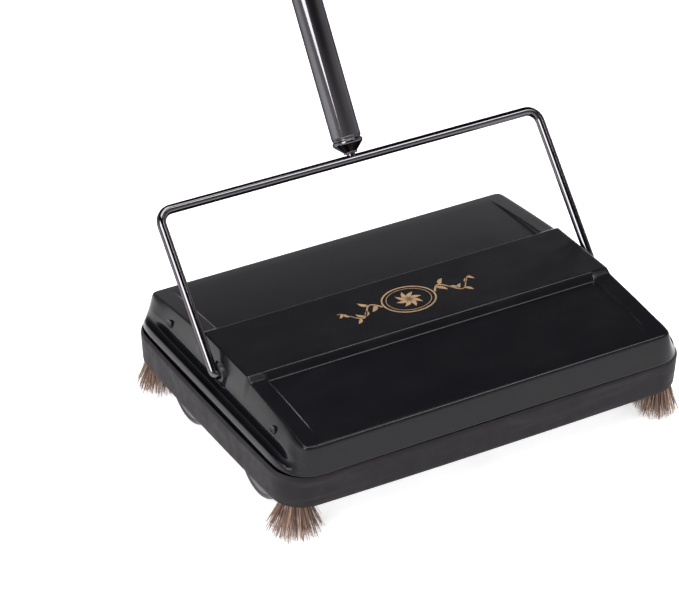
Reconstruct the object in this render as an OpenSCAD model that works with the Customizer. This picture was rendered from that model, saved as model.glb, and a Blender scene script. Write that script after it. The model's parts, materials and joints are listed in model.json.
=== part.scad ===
// Manual carpet sweeper: four wheels turn a bladed rotor that throws dirt into two hinged dust pans.
// Frame: +X to the right, +Y to the rear, +Z up. The origin is on the floor under the middle of the case.

/* [Case] */
// Width of the top cover at its lower rim
cover_w = 299.2; // [294:0.1:299.6]
// Depth of the top cover at its lower rim
cover_d = 218.8; // [216:0.1:219.2]
// Height of the rim, where the cover meets the bumper
rim_z = 49.3; // [48:0.1:51]
// Height of the flat band across the middle of the cover
top_z = 78.1; // [77:0.1:80]
// Height of the cover's front and rear top edges
edge_z = 68; // [66:0.1:69]
// Width of the raised band from front to rear
band_w = 59.4; // [50:0.1:62]
// Thickness of the sheet steel
sheet_t = 0.9; // [0.8:0.05:1.0]

/* [Bumper] */
// Width over the bumper
bumper_w = 305; // [304:0.5:308]
// Depth over the bumper
bumper_d = 220; // [219.5:0.5:224]
// Height of the bumper's lower edge
bumper_low_z = 24.4; // [23:0.1:24.5]
// Thickness of the bumper wall
bumper_t = 3.5; // [3:0.1:3.6]
// Outer corner radius of the bumper
corner_r = 23.5; // [22:0.5:25]

/* [Wheels] */
// Radius of a wheel over its tyre
wheel_r = 27; // [26.8:0.1:27.2]
// Width of a tyre
wheel_w = 12; // [11:0.5:12]
// Distance of the wheel axles from the middle, front and rear
wheel_y = 47.8; // [47.5:0.1:48]
// Distance of the wheels' outer faces from the middle
wheel_face_x = 139.4; // [139:0.1:139.5]
// Radius of the wheel axles
axle_r = 2.5; // [2:0.1:3]

/* [Rotor] */
// Radius of the ribbed rings that the wheels drive
ring_r = 20.9; // [20.6:0.1:21]
// Radius of the rotor at the tips of its blades
blade_r = 30.5; // [28:0.5:31]
// Number of blades
blade_count = 6; // [5:1:7]
// Turn of the blades from end to end, in degrees
blade_twist = 24; // [0:2:40]

/* [Dust pans] */
// Distance of the pan hinges from the middle
hinge_y = 94; // [93.5:0.1:94.5]
// Height of the pan hinges
hinge_z = 31; // [30.5:0.1:31.5]
// Half the width of a pan
pan_half_w = 120; // [100:1:121]
// Radius of the hinge rods
rod_r = 1.5; // [1.2:0.1:1.6]

/* [Corner brushes] */
// Distance of each brush from the middle, sideways
brush_x = 137; // [135:0.5:138]
// Distance of each brush from the middle, front to rear
brush_y = 93; // [92:0.5:94]
// Radius of a brush where it leaves the case
brush_root_r = 6; // [5:0.5:6]
// Radius of a brush at the floor
brush_tip_r = 16; // [12:0.5:16]

/* [Handle] */
// Diameter of the bail wire
wire_d = 6.35; // [6:0.05:6.5]
// Distance of the bail legs from the middle
bail_x = 144.3; // [144.2:0.1:145]
// Distance from the bail pivot to the cross bar
bail_reach = 111.1; // [110.8:0.1:118]
// Height of the bail pivot
pivot_z = 64.4; // [64:0.1:65]
// Lean of the bail to the rear at rest, from upright
bail_lean = 42.7; // [20:0.1:60]
// Lean of the handle tube to the rear at rest, from upright
tube_lean = 34.5; // [20:0.1:60]
// Overall height with the tube upright
overall_h = 1118; // [900:1:1300]
// Diameter of the handle tube
tube_d = 20; // [18:0.05:22]
// Wall of the handle tube
tube_wall = 0.75; // [0.6:0.05:1.2]

/* [Hidden] */
$fn = 64;
eps = 0.01;

// Case outline
rim_hx = cover_w / 2;
rim_hy = cover_d / 2;
rim_corner_r = 23;
front_edge_y = 104.9;         // where the front and rear faces meet the top panels
band_hy = band_w / 2;
band_step = 2.4;              // the band stands this far above the panels
field_hx = 124;               // half the length of the sunken field in each panel
field_depth = 2.6;            // depth of the field beside the band
field_end_y = 92;             // where the field runs out
field_end_depth = 0.3;
end_top_x = 136.6;            // top edge of the cover's ends
end_foot_x = 142.4;           // foot of the sloping end wall, in the trough
trough_z = 53.4;
lip_x = 147.2;                // inner edge of the raised rim at the ends
lip_z = 54.6;
skirt_hx = bumper_w / 2 - bumper_t;
skirt_hy = bumper_d / 2 - bumper_t;
skirt_r = corner_r - bumper_t;
bumper_top_z = rim_z - 1.4;
flange_t = 2;                 // the bumper's lower flange, which the skirt stands on
flange_reach = 1.4;

// Running gear
wheel_x = wheel_face_x - wheel_w / 2;
drive_gap = 0.3;              // free space left between a tyre and a drive ring
rotor_z = wheel_r + sqrt(pow(wheel_r + ring_r + drive_gap, 2) - wheel_y * wheel_y);
plate_t = 1;
inner_plate_x = 124.2;
outer_plate_x = wheel_face_x + 0.35;
web_z = 54.4;
rivet_y = 70;
rivet_z = 63;
rivet_r = 2;
rivet_head_r = 3.2;
rivet_seat_x = 140;
tab_x = 137.2;
pivot_plate_x = 135.9;        // the carrier's upright plate that holds the bail's bushing
slot_half_y = 8;
slot_low_z = 57.2;
slot_high_z = 73;
rotor_pin_r = 2.5;
core_r = 9;
ring_w = 12;
ring_in_x = wheel_face_x - 0.4 - ring_w;
running_gap = 0.05;           // radial clearance of what turns on a pin

// Dust pans: the section runs from the outer wall, under the hinge, to the crest of the inner ramp
pan_t = 1;
pan_wall_y = hinge_y + 2;
pan_section = [[pan_wall_y, hinge_z - 3.2], [pan_wall_y, 18], [pan_wall_y - 12, 8.5], [45.5, 6], [35, 21]];
pan_hollow = [
    [pan_wall_y - pan_t, 60], [pan_wall_y - pan_t, 18.5], [pan_wall_y - 12.4, 9.5],
    [46, 7], [36.2, 21.2], [36.2, 60]
];
knuckle_r = 3.4;
knuckle_w = 16;
spring_x = 60;
spring_r = 2.75;
spring_wire_r = 0.45;
spring_turns = 6;

// Handle
wire_r = wire_d / 2;
bail_bend_r = 9;              // centreline radius of the upper corners
foot_bend_r = 3.5;            // centreline radius where the legs turn in to the pivots
stub_end_x = 131;
bushing_r = 5.5;
tube_r = tube_d / 2;
tube_in_r = tube_r - tube_wall;
stud_h = 16;
ferrule_z = wire_r + 0.6;     // heights along the tube are measured from the bail's cross bar
tube_z = ferrule_z + 11.5;     // lower end of the lowest tube
handle_top = overall_h - pivot_z - bail_reach * cos(bail_lean - tube_lean);
cap_eye_r = 11;
hang_hole_r = 4;
eye_z = handle_top - cap_eye_r;
cap_z = eye_z - 36;
coupling_ring = 1.2;
tube_end_z = eye_z - 14;
tube_len = (tube_end_z - tube_z - 2 * coupling_ring) / 3;

enamel = [0.07, 0.07, 0.09];
vinyl = [0.15, 0.14, 0.15];
rubber = [0.16, 0.19, 0.23];
plated = [0.75, 0.75, 0.72];
dark_chrome = [0.2, 0.2, 0.22];
plastic = [0.1, 0.1, 0.1];
wheel_grey = [0.28, 0.26, 0.28];
bristle = [0.45, 0.33, 0.24];

// An upright block with rounded vertical edges, centred on the origin
module rounded_block(hx, hy, r, z0, z1) {
    translate([0, 0, z0]) linear_extrude(z1 - z0) {
        square([2 * hx, 2 * (hy - r)], center = true);
        square([2 * (hx - r), 2 * hy], center = true);
        for (sx = [-1, 1], sy = [-1, 1])
            translate([sx * (hx - r), sy * (hy - r)]) circle(r);
    }
}

// A section drawn in Y and Z, run from x0 to x1
module along_x(x0, x1) {
    translate([x0, 0, 0]) rotate([90, 0, 90]) linear_extrude(x1 - x0) children();
}

// A cylinder lying along X
module x_cylinder(x0, x1, y, z, r) {
    translate([x0, y, z]) rotate([0, 90, 0]) cylinder(r = r, h = x1 - x0);
}

// Copies a left or right piece to its own side: side is -1 on the left and 1 on the right
module on_side(side) {
    mirror([side < 0 ? 1 : 0, 0, 0]) children();
}

// Copies a rear piece to the front: row is -1 at the front and 1 at the rear
module in_row(row) {
    mirror([0, row < 0 ? 1 : 0, 0]) children();
}

// ---- Case ----

function mirrored_section(half) = concat(half, [for (i = [len(half) - 1:-1:0]) [-half[i][0], half[i][1]]]);

// The closed form of the cover's upper part, t inside its outer skin
module cover_form(t) {
    rim_slope = (rim_hx - lip_x) / (lip_z - rim_z);
    roof = [
        [rim_hy - t, rim_z - 1], [rim_hy - t, rim_z], [front_edge_y - t, edge_z - t],
        [band_hy - t, top_z - band_step - t], [band_hy - t, top_z - t]
    ];
    lip = t > 0
        ? [[rim_hx - t - rim_slope * (trough_z - t - rim_z), trough_z - t]]
        : [[lip_x, lip_z], [lip_x - 0.6, trough_z]];
    ends = concat(
        [[rim_hx - t, rim_z - 1], [rim_hx - t, rim_z]], lip,
        [[end_foot_x - t, trough_z - t], [end_top_x - t, top_z]]
    );
    intersection() {
        rounded_block(rim_hx - t, rim_hy - t, rim_corner_r - t, rim_z + t, top_z);
        along_x(-rim_hx, rim_hx) polygon(mirrored_section(roof));
        rotate([90, 0, 0]) linear_extrude(2 * rim_hy, center = true) polygon(mirrored_section(ends));
    }
}

// The wedge that each panel is sunk by beside the band
module panel_field(t) {
    in_z = top_z - band_step - field_depth - t;
    fall = (top_z - band_step - edge_z) / (front_edge_y - band_hy);
    out_z = top_z - band_step - fall * (field_end_y - band_hy) - field_end_depth - t;
    far_y = field_end_y + t;
    along_x(-field_hx - t, field_hx + t)
        polygon([[band_hy - t, top_z], [band_hy - t, in_z], [far_y, out_z], [far_y, top_z]]);
}

module top_cover() {
    color(enamel) difference() {
        union() {
            difference() {
                cover_form(0);
                for (row = [-1, 1]) in_row(row) panel_field(0);
            }
            rounded_block(skirt_hx, skirt_hy, skirt_r, bumper_low_z + flange_t, rim_z + sheet_t / 2);
        }
        difference() {
            cover_form(sheet_t);
            for (row = [-1, 1]) in_row(row) panel_field(sheet_t);
        }
        rounded_block(skirt_hx - sheet_t, skirt_hy - sheet_t, skirt_r - sheet_t,
            bumper_low_z, rim_z + 2 * sheet_t);
        for (side = [-1, 1]) on_side(side) {
            // The slot that the bail's foot goes in through
            translate([130, -slot_half_y, slot_low_z]) cube([14, 2 * slot_half_y, slot_high_z - slot_low_z]);
            for (row = [-1, 1]) {
                x_cylinder(130, 144, row * rivet_y, rivet_z, rivet_r);
                x_cylinder(rivet_seat_x, 144, row * rivet_y, rivet_z, rivet_head_r + 0.1);
            }
        }
    }
}

module bumper() {
    color(vinyl) difference() {
        rounded_block(bumper_w / 2, bumper_d / 2, corner_r, bumper_low_z, bumper_top_z);
        rounded_block(skirt_hx, skirt_hy, skirt_r, bumper_low_z + flange_t, bumper_top_z + 1);
        rounded_block(skirt_hx - flange_reach, skirt_hy - flange_reach, skirt_r - flange_reach,
            bumper_low_z - 1, bumper_low_z + flange_t + 1);
    }
}

// A channel that holds two wheels, one rotor bearing and the ends of both pan rods
module wheel_carrier(side) {
    low_z = 20;
    half_y = 60;
    ear_y = 99;
    ear_z = hinge_z - 5;
    high_z = web_z + plate_t;
    color(plated) on_side(side) difference() {
        union() {
            for (x = [inner_plate_x, outer_plate_x])
                translate([x, -half_y, low_z]) cube([plate_t, 2 * half_y, high_z - low_z]);
            translate([inner_plate_x, -ear_y, ear_z]) cube([plate_t, 2 * ear_y, high_z - ear_z]);
            translate([inner_plate_x, -76, web_z])
                cube([outer_plate_x + plate_t - inner_plate_x, 152, plate_t]);
            for (row = [-1, 1])
                translate([tab_x, row * rivet_y - 5, web_z]) cube([plate_t, 10, 12]);
            translate([pivot_plate_x, -11, web_z]) cube([plate_t, 22, 17.6]);
        }
        x_cylinder(pivot_plate_x - 1, pivot_plate_x + plate_t + 1, 0, pivot_z, bushing_r);
        // The way out for the rotor, open downward
        translate([inner_plate_x - 1, -33, 0]) cube([plate_t + 1.5, 66, web_z]);
        x_cylinder(outer_plate_x - 1, outer_plate_x + plate_t + 1, 0, rotor_z, 5);
        for (row = [-1, 1]) {
            x_cylinder(inner_plate_x - 1, outer_plate_x + plate_t + 1, row * wheel_y, wheel_r, axle_r);
            x_cylinder(inner_plate_x - 1, inner_plate_x + plate_t + 1, row * hinge_y, hinge_z, rod_r);
            x_cylinder(tab_x - 1, tab_x + plate_t + 1, row * rivet_y, rivet_z, rivet_r);
        }
    }
}

// Four rivets that hold the cover's ends to the carriers
module cover_rivets() {
    color(enamel) for (side = [-1, 1], row = [-1, 1]) on_side(side) {
        x_cylinder(tab_x - eps, rivet_seat_x + eps, row * rivet_y, rivet_z, rivet_r);
        x_cylinder(tab_x - 1.2, tab_x, row * rivet_y, rivet_z, rivet_head_r);
        x_cylinder(rivet_seat_x, rivet_seat_x + 0.8, row * rivet_y, rivet_z, rivet_head_r);
    }
}

module wheel_axle(side, row) {
    plate_out = outer_plate_x + plate_t;
    color(plated) on_side(side) {
        x_cylinder(inner_plate_x - 2.4, plate_out, row * wheel_y, wheel_r, axle_r);
        x_cylinder(plate_out, plate_out + 1.2, row * wheel_y, wheel_r, axle_r + 2);
    }
}

// Pressed-on nuts at the inner ends of the axles
module axle_push_nuts() {
    color(plated) for (side = [-1, 1], row = [-1, 1]) on_side(side) difference() {
        x_cylinder(inner_plate_x - 1.4, inner_plate_x, row * wheel_y, wheel_r, axle_r + 2.6);
        x_cylinder(inner_plate_x - 2, inner_plate_x + 1, row * wheel_y, wheel_r, axle_r);
    }
}

// A plastic bearing plug that reaches into the hollow end of the rotor
module rotor_bearing(side) {
    plate_out = outer_plate_x + plate_t;
    color(plastic) on_side(side) difference() {
        union() {
            x_cylinder(outer_plate_x - 4.5, outer_plate_x, 0, rotor_z, 6.5);
            x_cylinder(outer_plate_x - eps, plate_out, 0, rotor_z, 5);
            x_cylinder(plate_out, plate_out + 1.2, 0, rotor_z, 6.5);
        }
        x_cylinder(outer_plate_x - 6, outer_plate_x + 0.6, 0, rotor_z, rotor_pin_r + running_gap);
    }
}

module pan_rod(row) {
    end_x = inner_plate_x + plate_t + 1.2;
    color(plated) x_cylinder(-end_x, end_x, row * hinge_y, hinge_z, rod_r);
}

// A round wire along a path that stays near planes square to X
module bent_wire(path, r, sides = 8) {
    n = len(path);
    function along(i) = path[min(i + 1, n - 1)] - path[max(i - 1, 0)];
    function unit(v) = v / norm(v);
    rings = [for (i = [0:n - 1])
        let (t = unit(along(i)), u = unit(cross(t, [1, 0, 0])), v = cross(t, u))
        for (k = [0:sides - 1]) path[i] + r * (cos(k * 360 / sides) * u + sin(k * 360 / sides) * v)];
    walls = [for (i = [0:n - 2], k = [0:sides - 1])
        let (a = i * sides + k, b = i * sides + (k + 1) % sides) [a, b, b + sides, a + sides]];
    first = [for (k = [sides - 1:-1:0]) k];
    last = [for (k = [0:sides - 1]) (n - 1) * sides + k];
    polyhedron(rings, concat([first], walls, [last]));
}

// A torsion spring on the hinge rod: one leg bears on the skirt and the other on the pan's outer wall
module pan_spring(row) {
    steps = 14;
    turn = 360 * spring_turns;
    pitch = 2.2 * spring_wire_r;
    coil = [for (i = [0:spring_turns * steps])
        let (a = turn * i / (spring_turns * steps))
        [spring_x + pitch * a / 360, hinge_y + spring_r * cos(a), hinge_z + spring_r * sin(a)]];
    pan_leg = [spring_x, hinge_y + spring_r, hinge_z - 12];
    end_x = spring_x + pitch * spring_turns;
    skirt_leg = [end_x, hinge_y + spring_r, hinge_z + 9];
    color(plated) in_row(row) bent_wire(concat([pan_leg], coil, [skirt_leg]), spring_wire_r);
}

module bail_bushing(side) {
    color(plastic) on_side(side) difference() {
        union() {
            x_cylinder(pivot_plate_x, 140.9, 0, pivot_z, bushing_r);
            x_cylinder(pivot_plate_x - 1, pivot_plate_x, 0, pivot_z, bushing_r + 1.5);
            x_cylinder(pivot_plate_x + plate_t, 138.4, 0, pivot_z, bushing_r + 1.5);
        }
        x_cylinder(134, 143, 0, pivot_z, wire_r + running_gap);
    }
}

// A corner gusset with a ferrule for the brush
module brush_bracket(side, row) {
    plate_z = 28.5;
    inset = sheet_t;
    color(plated) on_side(side) in_row(row) difference() {
        union() {
            intersection() {
                rounded_block(skirt_hx - inset, skirt_hy - inset, skirt_r - inset, plate_z, plate_z + 1.5);
                translate([127, 77, 0]) cube([50, 50, 60]);
            }
            translate([brush_x, brush_y, bumper_low_z + 0.2]) cylinder(r = brush_root_r + 1.2, h = 9);
        }
        translate([brush_x, brush_y, 0]) cylinder(r = brush_root_r, h = 60);
    }
}

// A brush as one closed form: a straight root and a splayed skirt of bristle
module corner_brush(side, row) {
    color(bristle) on_side(side) in_row(row) translate([brush_x, brush_y, 0]) {
        cylinder(r1 = brush_tip_r, r2 = brush_root_r, h = bumper_low_z);
        translate([0, 0, bumper_low_z - eps]) cylinder(r = brush_root_r, h = 8);
    }
}

// ---- Dust pans ----

module dust_pan(row) {
    end_plate = concat(pan_section, [[36, 23], [60, 36], [hinge_y - 4, 36]]);
    color(plated) in_row(row) difference() {
        union() {
            difference() {
                along_x(-pan_half_w, pan_half_w) polygon(concat(pan_section, [[36.2, 21.2]]));
                along_x(-pan_half_w + pan_t, pan_half_w - pan_t) polygon(pan_hollow);
            }
            for (x = [-pan_half_w, pan_half_w - pan_t]) {
                along_x(x, x + pan_t) polygon(end_plate);
                x_cylinder(x, x + pan_t, hinge_y, hinge_z, knuckle_r);
            }
            for (x = [-100, 0, 100]) {
                x_cylinder(x - knuckle_w / 2, x + knuckle_w / 2, hinge_y, hinge_z, knuckle_r);
                translate([x - knuckle_w / 2, pan_wall_y - pan_t, hinge_z - 5]) cube([knuckle_w, pan_t, 5]);
            }
        }
        x_cylinder(-pan_half_w - 1, pan_half_w + 1, hinge_y, hinge_z, rod_r + running_gap);
    }
}

// ---- Rotor ----

module rotor_core() {
    color(plastic) difference() {
        x_cylinder(-ring_in_x, ring_in_x, 0, rotor_z, core_r);
        for (side = [-1, 1]) on_side(side) x_cylinder(118, ring_in_x + 1, 0, rotor_z, rotor_pin_r);
    }
}

// A rubber sleeve with slightly twisted blades, chamfered toward both ends
module rotor_blades() {
    full_x = 114;
    end_x = 123.4;
    pitch = 360 / blade_count;
    root_r = core_r + 2.2;
    blade = [[root_r, -0.36], [blade_r, -0.028], [blade_r, 0.028], [root_r, 0.36]];
    star = [for (i = [0:blade_count - 1], p = blade)
        let (a = pitch * (i + p[1])) p[0] * [cos(a), sin(a)]];
    color(rubber) translate([0, 0, rotor_z]) rotate([0, 90, 0]) difference() {
        intersection() {
            translate([0, 0, -end_x])
                linear_extrude(2 * end_x, twist = blade_twist, slices = 12) polygon(star);
            rotate_extrude() polygon([
                [0, -end_x], [17, -end_x], [blade_r + 1, -full_x],
                [blade_r + 1, full_x], [17, end_x], [0, end_x]
            ]);
        }
        translate([0, 0, -end_x - 1]) cylinder(r = core_r, h = 2 * end_x + 2);
    }
}

// The ring that both wheels of one side press on, hollow at its outer end
module drive_ring(side) {
    out_x = ring_in_x + ring_w;
    color(plastic) on_side(side) difference() {
        x_cylinder(ring_in_x, out_x, 0, rotor_z, ring_r);
        difference() {
            x_cylinder(ring_in_x + 3.5, out_x + 1, 0, rotor_z, ring_r - 3.6);
            x_cylinder(ring_in_x, ring_in_x + 7, 0, rotor_z, 6.5);
        }
        x_cylinder(ring_in_x - 1, out_x, 0, rotor_z, rotor_pin_r);
    }
}

module rotor_pin(side) {
    color(plated) on_side(side) x_cylinder(118, outer_plate_x + 0.2, 0, rotor_z, rotor_pin_r);
}

// ---- Wheels ----

module wheel_hub(side, row) {
    x0 = wheel_x - wheel_w / 2;
    x1 = wheel_x + wheel_w / 2;
    color(wheel_grey) on_side(side) difference() {
        union() {
            difference() {
                x_cylinder(x0 + 0.5, x1 - 0.5, row * wheel_y, wheel_r, wheel_r - 3.5);
                x_cylinder(x0, x0 + 8, row * wheel_y, wheel_r, wheel_r - 6);
                x_cylinder(x1 - 1.5, x1, row * wheel_y, wheel_r, 13);
            }
            x_cylinder(x0, x1, row * wheel_y, wheel_r, 5.5);
        }
        x_cylinder(x0 - 1, x1 + 1, row * wheel_y, wheel_r, axle_r + running_gap);
    }
}

module tyre(side, row) {
    bead_r = wheel_r - 3.5;
    shoulder = 1.2;
    half_w = wheel_w / 2;
    color(rubber) on_side(side)
        translate([wheel_x, row * wheel_y, wheel_r]) rotate([0, 90, 0]) rotate_extrude() polygon([
            [bead_r, -half_w], [wheel_r - shoulder, -half_w], [wheel_r, -half_w + shoulder],
            [wheel_r, half_w - shoulder], [wheel_r - shoulder, half_w], [bead_r, half_w]
        ]);
}

// ---- Handle, drawn upright and then leaned back ----

// Places what is drawn upright from the bail's pivot
module on_pivot() {
    translate([0, 0, pivot_z]) rotate([-bail_lean, 0, 0]) children();
}

// Places what is drawn upright from the middle of the bail's cross bar
module on_bar() {
    on_pivot() translate([0, 0, bail_reach]) rotate([bail_lean - tube_lean, 0, 0]) children();
}

// A quarter bend of wire in the XZ plane about its own centre, from +X up to +Z
module quarter_bend(bend_r) {
    rotate([90, 0, 0]) rotate_extrude(angle = 90) translate([bend_r, 0]) circle(wire_r);
}

module bail() {
    color(dark_chrome) on_pivot() for (side = [-1, 1]) on_side(side) {
        translate([0, 0, bail_reach]) rotate([0, 90, 0]) cylinder(r = wire_r, h = bail_x - bail_bend_r);
        translate([bail_x - bail_bend_r, 0, bail_reach - bail_bend_r]) quarter_bend(bail_bend_r);
        translate([bail_x, 0, foot_bend_r])
            cylinder(r = wire_r, h = bail_reach - bail_bend_r - foot_bend_r);
        translate([bail_x - foot_bend_r, 0, foot_bend_r]) mirror([0, 0, 1]) quarter_bend(foot_bend_r);
        translate([stub_end_x, 0, 0]) rotate([0, 90, 0])
            cylinder(r = wire_r, h = bail_x - foot_bend_r - stub_end_x);
    }
}

// A push-on clip that keeps the end of the wire in its bushing
module bail_clip(side) {
    color(plated) on_pivot() on_side(side) difference() {
        translate([133.2, 0, 0]) rotate([0, 90, 0]) cylinder(r = 6.2, h = 1.3);
        translate([132, 0, 0]) rotate([0, 90, 0]) cylinder(r = wire_r, h = 4);
    }
}

// The stud on the cross bar that the handle screws onto
module handle_stud() {
    color(dark_chrome) on_bar() difference() {
        cylinder(r = 3, h = stud_h);
        translate([-10, 0, 0]) rotate([0, 90, 0]) cylinder(r = wire_r, h = 20);
    }
}

module handle_ferrule() {
    shoulder_z = ferrule_z + 6.5;
    color(dark_chrome) on_bar() difference() {
        rotate_extrude() polygon([
            [0, ferrule_z], [4.6, ferrule_z], [4.6, ferrule_z + 1.2], [tube_r - 0.3, shoulder_z],
            [tube_r + 0.3, shoulder_z + 0.6], [tube_r + 0.3, tube_z - 2.6], [tube_r - 0.5, tube_z - 2],
            [tube_r - 0.5, tube_z - 1.2], [tube_r, tube_z - 0.8], [tube_r, tube_z],
            [tube_in_r, tube_z], [tube_in_r, tube_z + 18], [0, tube_z + 18]
        ]);
        translate([0, 0, ferrule_z - 1]) cylinder(r = 3, h = stud_h - ferrule_z + 1);
    }
}

module handle_tube(z0) {
    color(dark_chrome) on_bar() translate([0, 0, z0]) difference() {
        cylinder(r = tube_r, h = tube_len);
        translate([0, 0, -1]) cylinder(r = tube_in_r, h = tube_len + 2);
    }
}

// A threaded plug that joins two tubes, with a thin ring showing between them
module coupling(z0) {
    color(dark_chrome) on_bar() translate([0, 0, z0]) {
        cylinder(r = tube_r, h = coupling_ring);
        translate([0, 0, -18]) cylinder(r = tube_in_r, h = 36 + coupling_ring);
    }
}

module hanging_cap() {
    cap_r = tube_r + 1.5;
    color(plastic) on_bar() difference() {
        union() {
            translate([0, 0, cap_z]) cylinder(r = cap_r, h = eye_z - 13 - cap_z);
            translate([0, 0, eye_z - 13]) cylinder(r1 = cap_r, r2 = 5.2, h = 8);
            translate([0, 0, eye_z]) rotate([90, 0, 0]) cylinder(r = cap_eye_r, h = 9, center = true);
        }
        translate([0, 0, cap_z - 1]) cylinder(r = tube_r, h = tube_end_z - cap_z + 1);
        translate([0, 0, eye_z]) rotate([90, 0, 0]) cylinder(r = hang_hole_r, h = 30, center = true);
    }
}

top_cover();
bumper();
wheel_carrier(-1);  // left_wheel_carrier
wheel_carrier(1);  // right_wheel_carrier
cover_rivets();
wheel_axle(-1, -1);  // front_left_axle
wheel_axle(1, -1);  // front_right_axle
wheel_axle(-1, 1);  // rear_left_axle
wheel_axle(1, 1);  // rear_right_axle
axle_push_nuts();
rotor_bearing(-1);  // left_rotor_bearing
rotor_bearing(1);  // right_rotor_bearing
pan_rod(-1);  // front_pan_rod
pan_rod(1);  // rear_pan_rod
pan_spring(-1);  // front_pan_spring
pan_spring(1);  // rear_pan_spring
bail_bushing(-1);  // left_bail_bushing
bail_bushing(1);  // right_bail_bushing
brush_bracket(-1, -1);  // front_left_brush_bracket
brush_bracket(1, -1);  // front_right_brush_bracket
brush_bracket(-1, 1);  // rear_left_brush_bracket
brush_bracket(1, 1);  // rear_right_brush_bracket
corner_brush(-1, -1);  // front_left_brush
corner_brush(1, -1);  // front_right_brush
corner_brush(-1, 1);  // rear_left_brush
corner_brush(1, 1);  // rear_right_brush
dust_pan(-1);  // front_dust_pan
dust_pan(1);  // rear_dust_pan
rotor_core();
rotor_blades();
drive_ring(-1);  // left_drive_ring
drive_ring(1);  // right_drive_ring
rotor_pin(-1);  // left_rotor_pin
rotor_pin(1);  // right_rotor_pin
wheel_hub(-1, -1);  // front_left_hub
wheel_hub(1, -1);  // front_right_hub
wheel_hub(-1, 1);  // rear_left_hub
wheel_hub(1, 1);  // rear_right_hub
tyre(-1, -1);  // front_left_tyre
tyre(1, -1);  // front_right_tyre
tyre(-1, 1);  // rear_left_tyre
tyre(1, 1);  // rear_right_tyre
bail();
bail_clip(-1);  // left_bail_clip
bail_clip(1);  // right_bail_clip
handle_stud();
handle_ferrule();
handle_tube(tube_z);  // lower_tube
handle_tube(tube_z + tube_len + coupling_ring);  // middle_tube
handle_tube(tube_z + 2 * (tube_len + coupling_ring));  // upper_tube
coupling(tube_z + tube_len);  // lower_coupling
coupling(tube_z + 2 * tube_len + coupling_ring);  // upper_coupling
hanging_cap();
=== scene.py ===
"""The carpet sweeper's looks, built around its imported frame. Metres, +Z up, the front at -Y."""

import json
import math
import random

import bpy
from mathutils import Matrix, Vector


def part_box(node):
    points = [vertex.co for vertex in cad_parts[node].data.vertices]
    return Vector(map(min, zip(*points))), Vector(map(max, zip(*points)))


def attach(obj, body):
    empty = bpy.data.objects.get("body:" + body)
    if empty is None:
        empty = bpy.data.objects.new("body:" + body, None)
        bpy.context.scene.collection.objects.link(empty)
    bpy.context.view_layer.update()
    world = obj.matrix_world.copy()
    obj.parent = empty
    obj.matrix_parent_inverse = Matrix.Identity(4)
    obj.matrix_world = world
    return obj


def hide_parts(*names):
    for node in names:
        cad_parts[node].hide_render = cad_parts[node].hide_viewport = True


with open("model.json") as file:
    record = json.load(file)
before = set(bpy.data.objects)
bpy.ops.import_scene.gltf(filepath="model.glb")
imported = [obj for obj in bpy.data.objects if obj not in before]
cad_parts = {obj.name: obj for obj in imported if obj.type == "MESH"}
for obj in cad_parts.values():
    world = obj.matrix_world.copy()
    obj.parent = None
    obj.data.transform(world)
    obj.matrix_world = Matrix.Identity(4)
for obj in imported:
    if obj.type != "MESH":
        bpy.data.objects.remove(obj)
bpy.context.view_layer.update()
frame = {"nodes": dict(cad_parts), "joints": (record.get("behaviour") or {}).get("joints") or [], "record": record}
MM = 0.001
SIDES = {"left": -1, "right": 1}
ROWS = {"front": -1, "rear": 1}

# ---------------------------------------------------------------- places taken from the frame

cover_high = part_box("top_cover")[1] / MM
bumper_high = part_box("bumper")[1] / MM
JOINTS = {joint["name"]: joint for joint in frame["joints"]}
PIVOT = Vector(JOINTS["handle_swing"]["pos_m"])
ROTOR_CENTRE = Vector(JOINTS["rotor_spin"]["pos_m"])
WIRE = 3.175


def node_centre(node):
    low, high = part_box(node)
    return (low + high) / 2


def upright_frame(origin, axis):
    """A frame at origin whose Z points along axis."""
    return Matrix.Translation(origin) @ Vector((0, 0, 1)).rotation_difference(axis).to_matrix().to_4x4()


def span(node, origin, axis):
    """Where a CAD node starts and ends along an axis, in millimetres from origin."""
    along = [(v.co - origin).dot(axis) / MM for v in frame["nodes"][node].data.vertices]
    return min(along), max(along)


# The tube's axis meets the bail's cross bar just under the ferrule.
LOWER_CENTRE = node_centre("lower_tube")
TUBE_AXIS = (node_centre("upper_tube") - LOWER_CENTRE).normalized()
BAR = LOWER_CENTRE + TUBE_AXIS * (span("handle_ferrule", LOWER_CENTRE, TUBE_AXIS)[0] - WIRE - 0.6) * MM
BAIL_REACH = (BAR - PIVOT).length / MM
BAIL_FRAME = upright_frame(PIVOT, BAR - PIVOT)
TUBE_FRAME = upright_frame(BAR, TUBE_AXIS)


# ---------------------------------------------------------------- mesh helpers (sizes in millimetres)

def smoothstep(low, high, value):
    t = min(max((value - low) / (high - low), 0), 1)
    return t * t * (3 - 2 * t)


def lerp(a, b, t):
    return a + (b - a) * t


def new_piece(name, points, faces, material, smooth=True):
    mesh = bpy.data.meshes.new(name)
    mesh.from_pydata([Vector(p) * MM for p in points], [], faces)
    mesh.validate()
    if smooth:
        mesh.shade_smooth()
    mesh.materials.append(material)
    piece = bpy.data.objects.new(name, mesh)
    bpy.context.scene.collection.objects.link(piece)
    return piece


def ring_faces(ring_count, ring_size):
    """Quads between closed rings of equal size."""
    return [(a * ring_size + i, a * ring_size + (i + 1) % ring_size,
             (a + 1) * ring_size + (i + 1) % ring_size, (a + 1) * ring_size + i)
            for a in range(ring_count - 1) for i in range(ring_size)]


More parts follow.
